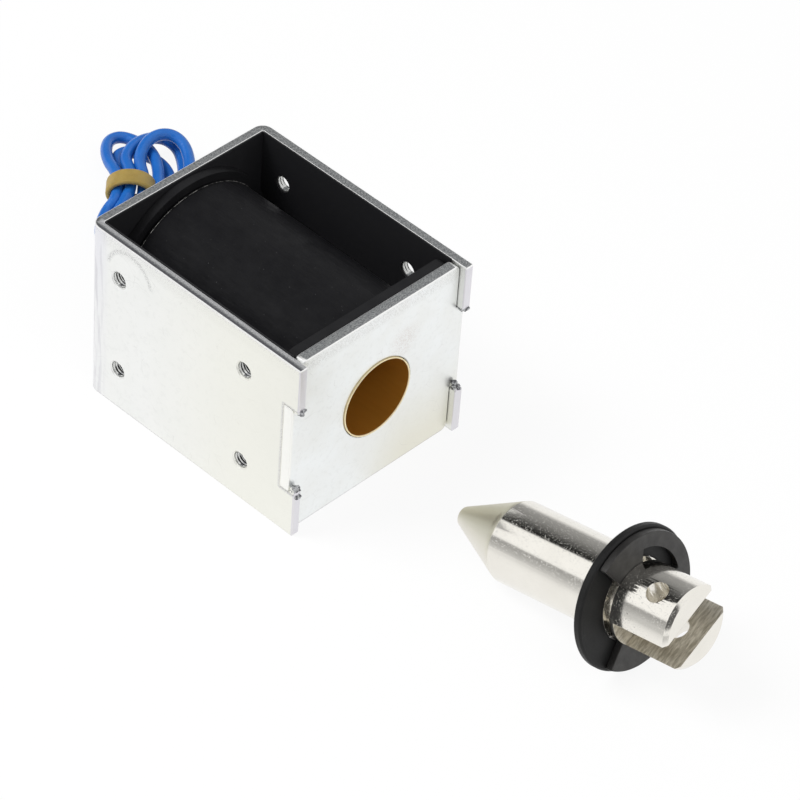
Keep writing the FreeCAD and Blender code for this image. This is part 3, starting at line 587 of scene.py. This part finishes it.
thread_cotton, tree, shader = new_material("thread_cotton")
twisted = add(tree, "ShaderNodeTexNoise", {"Vector": place_in(tree), "Scale": 1.1, "Detail": 4.0,
                                           "Roughness": 0.7})
colour = blend(tree, ramp(tree, twisted.outputs["Fac"], 0.42, 0.62),
               (0.015, 0.015, 0.016), (0.45, 0.44, 0.42))
set_up(tree, shader, {"Base Color": colour, "Roughness": 0.8}, twisted.outputs["Fac"], 0.02)
thread_bm = spun([(-39.00, 14.84), (-38.96, 14.87), (-39.00, 14.90), (-39.04, 14.87)])
binding = finished("binding_thread", thread_bm, thread_cotton)

# ---- Guide tube and pole piece ----
# A drawn brass tube lines the bore. Behind it the steel pole piece, hollowed to a cone, is
# riveted through the back plate.
drawn_brass, tree, shader = new_material("drawn_brass")
drawn = add(tree, "ShaderNodeTexNoise", {"Vector": place_in(tree, (0.08, 1.0, 1.0)), "Scale": 2.2,
                                         "Detail": 5.0, "Roughness": 0.6})
# Painted shade: the brass is coloured a dark brown for the shade inside the bore; only the mouth's
# front face and outer rim get a pale gold
colour = blend(tree, drawn.outputs["Fac"], (0.40, 0.165, 0.016), (0.49, 0.215, 0.028))
place = add(tree, "ShaderNodeSeparateXYZ", {0: place_in(tree)})
height = maths(tree, "SUBTRACT", place.outputs["Z"], bore_height)
from_axis = slant(tree, place.outputs["Y"], height)
# The pale gold mouth, set against the painted shade of the bore
mouth = maths(tree, "MAXIMUM", ramp(tree, place.outputs["X"], 0.98, 1.04),
              ramp(tree, from_axis, 6.72, 6.80))
colour = blend(tree, mouth, colour, (1.0, 0.86, 0.55))
rough = ramp(tree, drawn.outputs["Fac"], 0.35, 0.65, 0.40, 0.48)
set_up(tree, shader, {"Base Color": colour, "Metallic": 0.45, "Roughness": rough},
       drawn.outputs["Fac"], 0.003)
tube_profile = [(back_inner_face, 6.66), (1.00, 6.66), (1.10, 6.69), (1.15, 6.74), (1.15, 6.85),
                (1.10, 6.90), (-0.80, 6.93), (-0.95, 7.00), (back_inner_face, 7.00)]
tube = finished("brass_guide", spun(tube_profile), drawn_brass)
even = tube.modifiers.new("even_shading", "WEIGHTED_NORMAL")
even.keep_sharp = True
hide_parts("guide_tube")

turned_steel, tree, shader = new_material("turned_steel")
cloudy = use_group(tree, smudges, Size=2.5, Contrast=1.0)
colour = blend(tree, cloudy["Mask"], (0.62, 0.62, 0.61), (0.48, 0.48, 0.47))
rough = ramp(tree, cloudy["Fine"], 0.3, 0.7, 0.28, 0.44)
set_up(tree, shader, {"Base Color": colour, "Metallic": 0.95, "Roughness": rough},
       cloudy["Fine"], 0.012)
dress("pole_piece", turned_steel)

# ---- Leads ----
# Two stranded wires in blue PVC, joined to the coil inside the frame. They leave through the
# notch at the foot of the back plate and are folded side by side into a short loose hank.
blue_pvc, tree, shader = new_material("blue_pvc")
cloudy = use_group(tree, smudges, Size=3.0, Contrast=1.0)
colour = blend(tree, cloudy["Mask"], (0.0115, 0.122, 0.465), (0.019, 0.145, 0.51))
rough = ramp(tree, cloudy["Fine"], 0.3, 0.7, 0.20, 0.28)
set_up(tree, shader, {"Base Color": colour, "Roughness": rough, "Specular IOR Level": 0.36},
       cloudy["Fine"], 0.004)

lead_width = 2.0
upper_lead = [
    (-26.9, 12.374, 4.126), (-47.4, 12.374, 4.126), (-55.0, 13.4, 2.4), (-60.6, 13.2, 1.1),
    (-64.4, 13.8, 1.6), (-67.3, 15.9, 2.9), (-69.5, 18.2, 3.0), (-71.7, 20.3, 3.2),
    (-73.9, 21.3, 4.0), (-75.4, 23.2, 4.8), (-76.3, 25.8, 5.2), (-76.1, 28.3, 5.1),
    (-74.7, 29.9, 4.7), (-72.4, 30.0, 4.1), (-69.9, 28.7, 3.5), (-67.6, 26.7, 3.1),
    (-64.8, 23.8, 2.6), (-62.0, 20.4, 2.6), (-59.7, 16.3, 3.2), (-58.3, 11.9, 3.4),
    (-58.1, 8.0, 3.2), (-59.7, 5.4, 2.6), (-63.0, 4.8, 1.9), (-66.4, 6.0, 1.6),
    (-68.9, 8.4, 1.6), (-70.3, 11.0, 2.0), (-70.1, 12.6, 3.2), (-71.8, 14.7, 3.5),
    (-73.5, 16.4, 3.5), (-75.8, 17.7, 3.3), (-78.4, 18.7, 2.9), (-81.3, 20.7, 2.5),
    (-83.2, 23.1, 2.1), (-83.0, 25.3, 1.9), (-81.3, 26.6, 1.6), (-77.7, 26.4, 2.4),
    (-74.3, 25.0, 3.3), (-71.8, 23.5, 3.3), (-69.4, 21.5, 3.1), (-67.0, 18.9, 3.1),
]
lower_lead = [
    (-26.9, 10.137, 2.23), (-47.4, 10.137, 2.23), (-54.5, 10.4, 1.1), (-61.0, 9.8, 1.1),
    (-66.0, 11.2, 1.2), (-69.6, 14.0, 1.6), (-71.7, 16.1, 1.7), (-73.6, 17.8, 1.6),
    (-77.6, 19.8, 1.5), (-80.0, 21.8, 1.3), (-80.2, 24.0, 1.1), (-78.6, 25.4, 1.0),
    (-76.2, 26.2, 1.1), (-73.7, 26.3, 1.1), (-71.2, 25.5, 1.1), (-68.5, 23.6, 1.1),
    (-65.0, 20.1, 2.2), (-62.4, 16.1, 3.3), (-61.3, 12.7, 3.4), (-61.4, 9.9, 3.0),
    (-63.1, 8.7, 2.4), (-65.6, 8.8, 2.2), (-67.8, 10.5, 2.6), (-68.6, 13.3, 3.6),
    (-70.0, 15.7, 3.8), (-72.0, 17.8, 3.8), (-74.5, 19.6, 3.7), (-76.4, 20.5, 3.6),
    (-77.8, 22.7, 3.7), (-78.2, 25.0, 3.8), (-78.2, 27.9, 3.2), (-77.1, 30.1, 2.5),
    (-74.8, 30.7, 1.7), (-72.2, 29.5, 1.1), (-68.9, 26.7, 1.1), (-65.9, 23.9, 1.1),
]


def lead_wire(name, points, exit_place, length, *nodes):
    """A lead as one smooth line through its route, with its solids taken out."""
    curve = bpy.data.curves.new(name, "CURVE")
    curve.dimensions = "3D"
    curve.bevel_depth = lead_width / 2 * MM
    curve.bevel_resolution = 8
    curve.resolution_u = 16
    curve.use_fill_caps = True
    spline = curve.splines.new("NURBS")
    spline.points.add(len(points) - 1)
    for corner, place in zip(spline.points, points):
        corner.co = (*(Vector(place) * MM), 1.0)
    spline.order_u = 3
    spline.use_endpoint_u = True
    curve.materials.append(blue_pvc)
    wire = bpy.data.objects.new(name, curve)
    bpy.context.collection.objects.link(wire)
    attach(wire, "frame")
    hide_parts(*nodes)


lead_wire("upper_lead", upper_lead, (-42.9, 12.374, 4.126), 0.146, "lead_1", "lead_hank")
lead_wire("lower_lead", lower_lead, (-42.9, 10.137, 2.230), 0.133, "lead_2")

# ---- Joints and sleeves ----
# Inside the frame each lead is soldered to an end of the winding. A black sleeve, shrunk on with
# heat, covers the joint.
solder_grey, tree, shader = new_material("solder_grey")
cloudy = use_group(tree, smudges, Size=1.0, Contrast=1.0)
colour = blend(tree, cloudy["Mask"], (0.56, 0.56, 0.55), (0.40, 0.40, 0.40))
set_up(tree, shader, {"Base Color": colour, "Metallic": 0.9, "Roughness": 0.35},
       cloudy["Fine"], 0.03)
shrunk_sleeve, tree, shader = new_material("shrunk_sleeve")
cloudy = use_group(tree, smudges, Size=1.5, Contrast=1.0)
colour = blend(tree, cloudy["Mask"], (0.010, 0.010, 0.011), (0.020, 0.020, 0.021))
set_up(tree, shader, {"Base Color": colour, "Roughness": 0.45}, cloudy["Fine"], 0.02)
for number in (1, 2):
    dress(f"solder_joint_{number}", solder_grey)
    dress(f"joint_sleeve_{number}", shrunk_sleeve)

# ---- Rubber band ----
# A short cut of tan latex tube, stretched over the middle of the hank. It is flattened on the
# wires, a little translucent, and dusty from ageing.
latex, tree, shader = new_material("latex")
cloudy = use_group(tree, smudges, Size=1.6, Contrast=1.0)
colour = blend(tree, cloudy["Mask"], (0.385, 0.275, 0.075), (0.30, 0.21, 0.052))
rough = ramp(tree, cloudy["Fine"], 0.3, 0.7, 0.42, 0.6)
set_up(tree, shader, {"Base Color": colour, "Roughness": rough, "Subsurface Weight": 0.35,
                      "Subsurface Radius": (1.0, 0.7, 0.3), "Subsurface Scale": 0.8 * MM},
       cloudy["Fine"], 0.02)
band_middle = Vector((-70.65, 16.45, 3.2))
band_half_width, band_half_height = 3.13, 2.18
band_length, band_wall, band_rounding, band_steps = 3.4, 0.9, 0.42, 6
band_bm = bmesh.new()
ring = bmesh.ops.create_circle(band_bm, cap_ends=False, radius=1.0, segments=72)["verts"]
bmesh.ops.scale(band_bm, vec=(band_half_width * MM, band_half_height * MM, 1.0), verts=ring)
bmesh.ops.translate(band_bm, vec=(0.0, 0.0, -band_length / 2 * MM), verts=ring)
rim = list(band_bm.edges)
for step in range(band_steps):
    grown = bmesh.ops.extrude_edge_only(band_bm, edges=rim)["geom"]
    raised = {part for part in grown if isinstance(part, bmesh.types.BMVert)}
    bmesh.ops.translate(band_bm, vec=(0.0, 0.0, band_length / band_steps * MM),
                        verts=list(raised))
    rim = [part for part in grown if isinstance(part, bmesh.types.BMEdge)
           and raised.issuperset(part.verts)]
bmesh.ops.recalc_face_normals(band_bm, faces=band_bm.faces)
heading = math.radians(134.0)
through = Vector((math.cos(heading), math.sin(heading), 0.0))
across = Vector((through.y, -through.x, 0.0))
lie = Matrix((across, Vector((0.0, 0.0, 1.0)), through)).transposed().to_4x4()
bmesh.ops.transform(band_bm, matrix=Matrix.Translation(band_middle * MM) @ lie,
                    verts=band_bm.verts)
band = finished("rubber_band", band_bm, latex)
wall = band.modifiers.new("wall", "SOLIDIFY")
wall.thickness = band_wall * MM
wall.offset = -1.0
rounding = band.modifiers.new("rounding", "BEVEL")
rounding.width = band_rounding * MM
rounding.segments = 4
rounding.angle_limit = math.radians(50)
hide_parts("hank_band")

# ---- Plunger ----
# Turned steel, nickel plated: a blunt cone at one end, a groove for the snap-on ring, and a
# milled clevis with a cross hole at the other. It lies in front of the frame on its washer.
tip = Vector((18.9, 1.3, 3.8977))
pitch = math.radians(12.612)
roll = math.radians(23.0)
cone_end, slot_start, slot_half_width = 11.3, 36.0, 2.80
nickel, tree, shader = new_material("nickel")
local = add(tree, "ShaderNodeVectorMath", {0: add(tree, "ShaderNodeTexCoord").outputs["Object"],
                                           1: tuple(tip * MM)}, operation="SUBTRACT").outputs[0]
level_place = add(tree, "ShaderNodeMapping",
                  {"Vector": local, "Rotation": (0.0, pitch, 0.0)}).outputs["Vector"]
own_place = add(tree, "ShaderNodeMapping", {"Vector": level_place, "Rotation": (-roll, 0.0, 0.0),
                                            "Scale": (1000.0, 1000.0, 1000.0)}).outputs["Vector"]
spot = add(tree, "ShaderNodeSeparateXYZ", {0: own_place})


def cutter_marks(angle, stretch, scale, detail, roughness):
    """The milling cutter's streaks, at an angle across the plunger's own axis."""
    laid = add(tree, "ShaderNodeMapping", {
        "Vector": own_place, "Rotation": (0.0, 0.0, angle), "Scale": stretch}).outputs["Vector"]
    streaks = add(tree, "ShaderNodeTexNoise", {
        "Vector": laid, "Scale": scale, "Detail": detail, "Roughness": roughness})
    return streaks.outputs["Fac"]


along_only = add(tree, "ShaderNodeCombineXYZ", {"X": spot.outputs["X"]}).outputs[0]
turned_marks = add(tree, "ShaderNodeTexNoise",
                   {"Vector": along_only, "Scale": 3.5, "Detail": 6.0, "Roughness": 0.8})
cloudy = use_group(tree, smudges, Size=4.0, Contrast=1.2)
pitted = add(tree, "ShaderNodeTexNoise",
             {"Vector": own_place, "Scale": 4.2, "Detail": 3.0, "Roughness": 0.6})
in_slot = product(tree, ramp(tree, off(tree, spot.outputs["Z"]), slot_half_width, 2.76),
                  ramp(tree, spot.outputs["X"], slot_start, 36.15))
on_cone = ramp(tree, spot.outputs["X"], cone_end, 11.0)
base = blend(tree, cloudy["Mask"], (0.87, 0.845, 0.785), (0.82, 0.795, 0.735))
normal = add(tree, "ShaderNodeTexCoord").outputs["Normal"]
facing = add(tree, "ShaderNodeSeparateXYZ", {0: normal})
# Painted shade: the cone turns a darker, yellower grey where it faces up
base = mark(tree, base, (0.66, 0.635, 0.50), on_cone,
            ramp(tree, facing.outputs["Z"], -0.3, 0.85), 0.85)
both = maths(tree, "ADD", cutter_marks(0.5, (2.2, 0.35, 1.0), 1.6, 6.0, 0.75),
             cutter_marks(-0.7, (1.8, 0.4, 1.0), 1.1, 4.0, 0.7))
marks = maths(tree, "MULTIPLY", both, 0.5)
milled_colour = blend(tree, ramp(tree, marks, 0.38, 0.62),
                      (0.42, 0.38, 0.30), (0.86, 0.82, 0.72))
base = blend(tree, in_slot, base, milled_colour)
rough = blend(tree, on_cone, (0.11, 0.11, 0.11), (0.38, 0.38, 0.38))
rough = blend(tree, in_slot, rough, (0.42, 0.42, 0.42))
rough = blend(tree, ramp(tree, cloudy["Fine"], 0.45, 0.75, 0.0, 0.2), rough, (0.36, 0.36, 0.36))
relief = product(tree, turned_marks.outputs["Fac"], ramp(tree, on_cone, 0.0, 1.0, 0.015, 0.5))
relief = maths(tree, "ADD", relief, ramp(tree, pitted.outputs["Fac"], 0.60, 0.69, 0.0, 0.75))
relief = maths(tree, "ADD", relief, product(tree, marks, in_slot, 4.0))
plated = ramp(tree, in_slot, 0.0, 1.0, 1.0, 0.7)
set_up(tree, shader, {"Base Color": base, "Metallic": plated, "Roughness": rough},
       relief, 0.012)
softened("pull_plunger", "plunger_core", nickel, width=0.12,
         body="plunger")

# ---- Retaining ring ----
# Stamped from spring steel and blackened, open on one side. Its three teeth snap onto the neck of
# the plunger and keep the washer on it.
black_oxide, tree, shader = new_material("black_oxide")
cloudy = use_group(tree, smudges, Size=1.6, Contrast=1.3)
base = blend(tree, cloudy["Mask"], (0.040, 0.039, 0.038), (0.072, 0.070, 0.068))
rough = ramp(tree, cloudy["Fine"], 0.3, 0.7, 0.30, 0.48)
set_up(tree, shader, {"Base Color": base, "Metallic": 0.75, "Roughness": rough},
       cloudy["Fine"], 0.02)
softened("snap_ring", "retaining_ring", black_oxide, width=0.10,
         body="plunger")

# ---- Stop washer ----
# A washer moulded in black rubber, loose on the plunger behind the ring. It cushions the end of
# the pull-in stroke.
black_rubber, tree, shader = new_material("black_rubber")
cloudy = use_group(tree, smudges, Size=1.8, Contrast=1.3)
base = blend(tree, cloudy["Mask"], (0.005, 0.005, 0.005), (0.010, 0.010, 0.010))
rough = ramp(tree, cloudy["Fine"], 0.3, 0.7, 0.40, 0.58)
set_up(tree, shader, {"Base Color": base, "Roughness": rough, "Specular IOR Level": 0.26},
       cloudy["Fine"], 0.03)
softened("cushion_washer", "stop_washer", black_rubber, width=0.08,
         body="washer")

low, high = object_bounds()
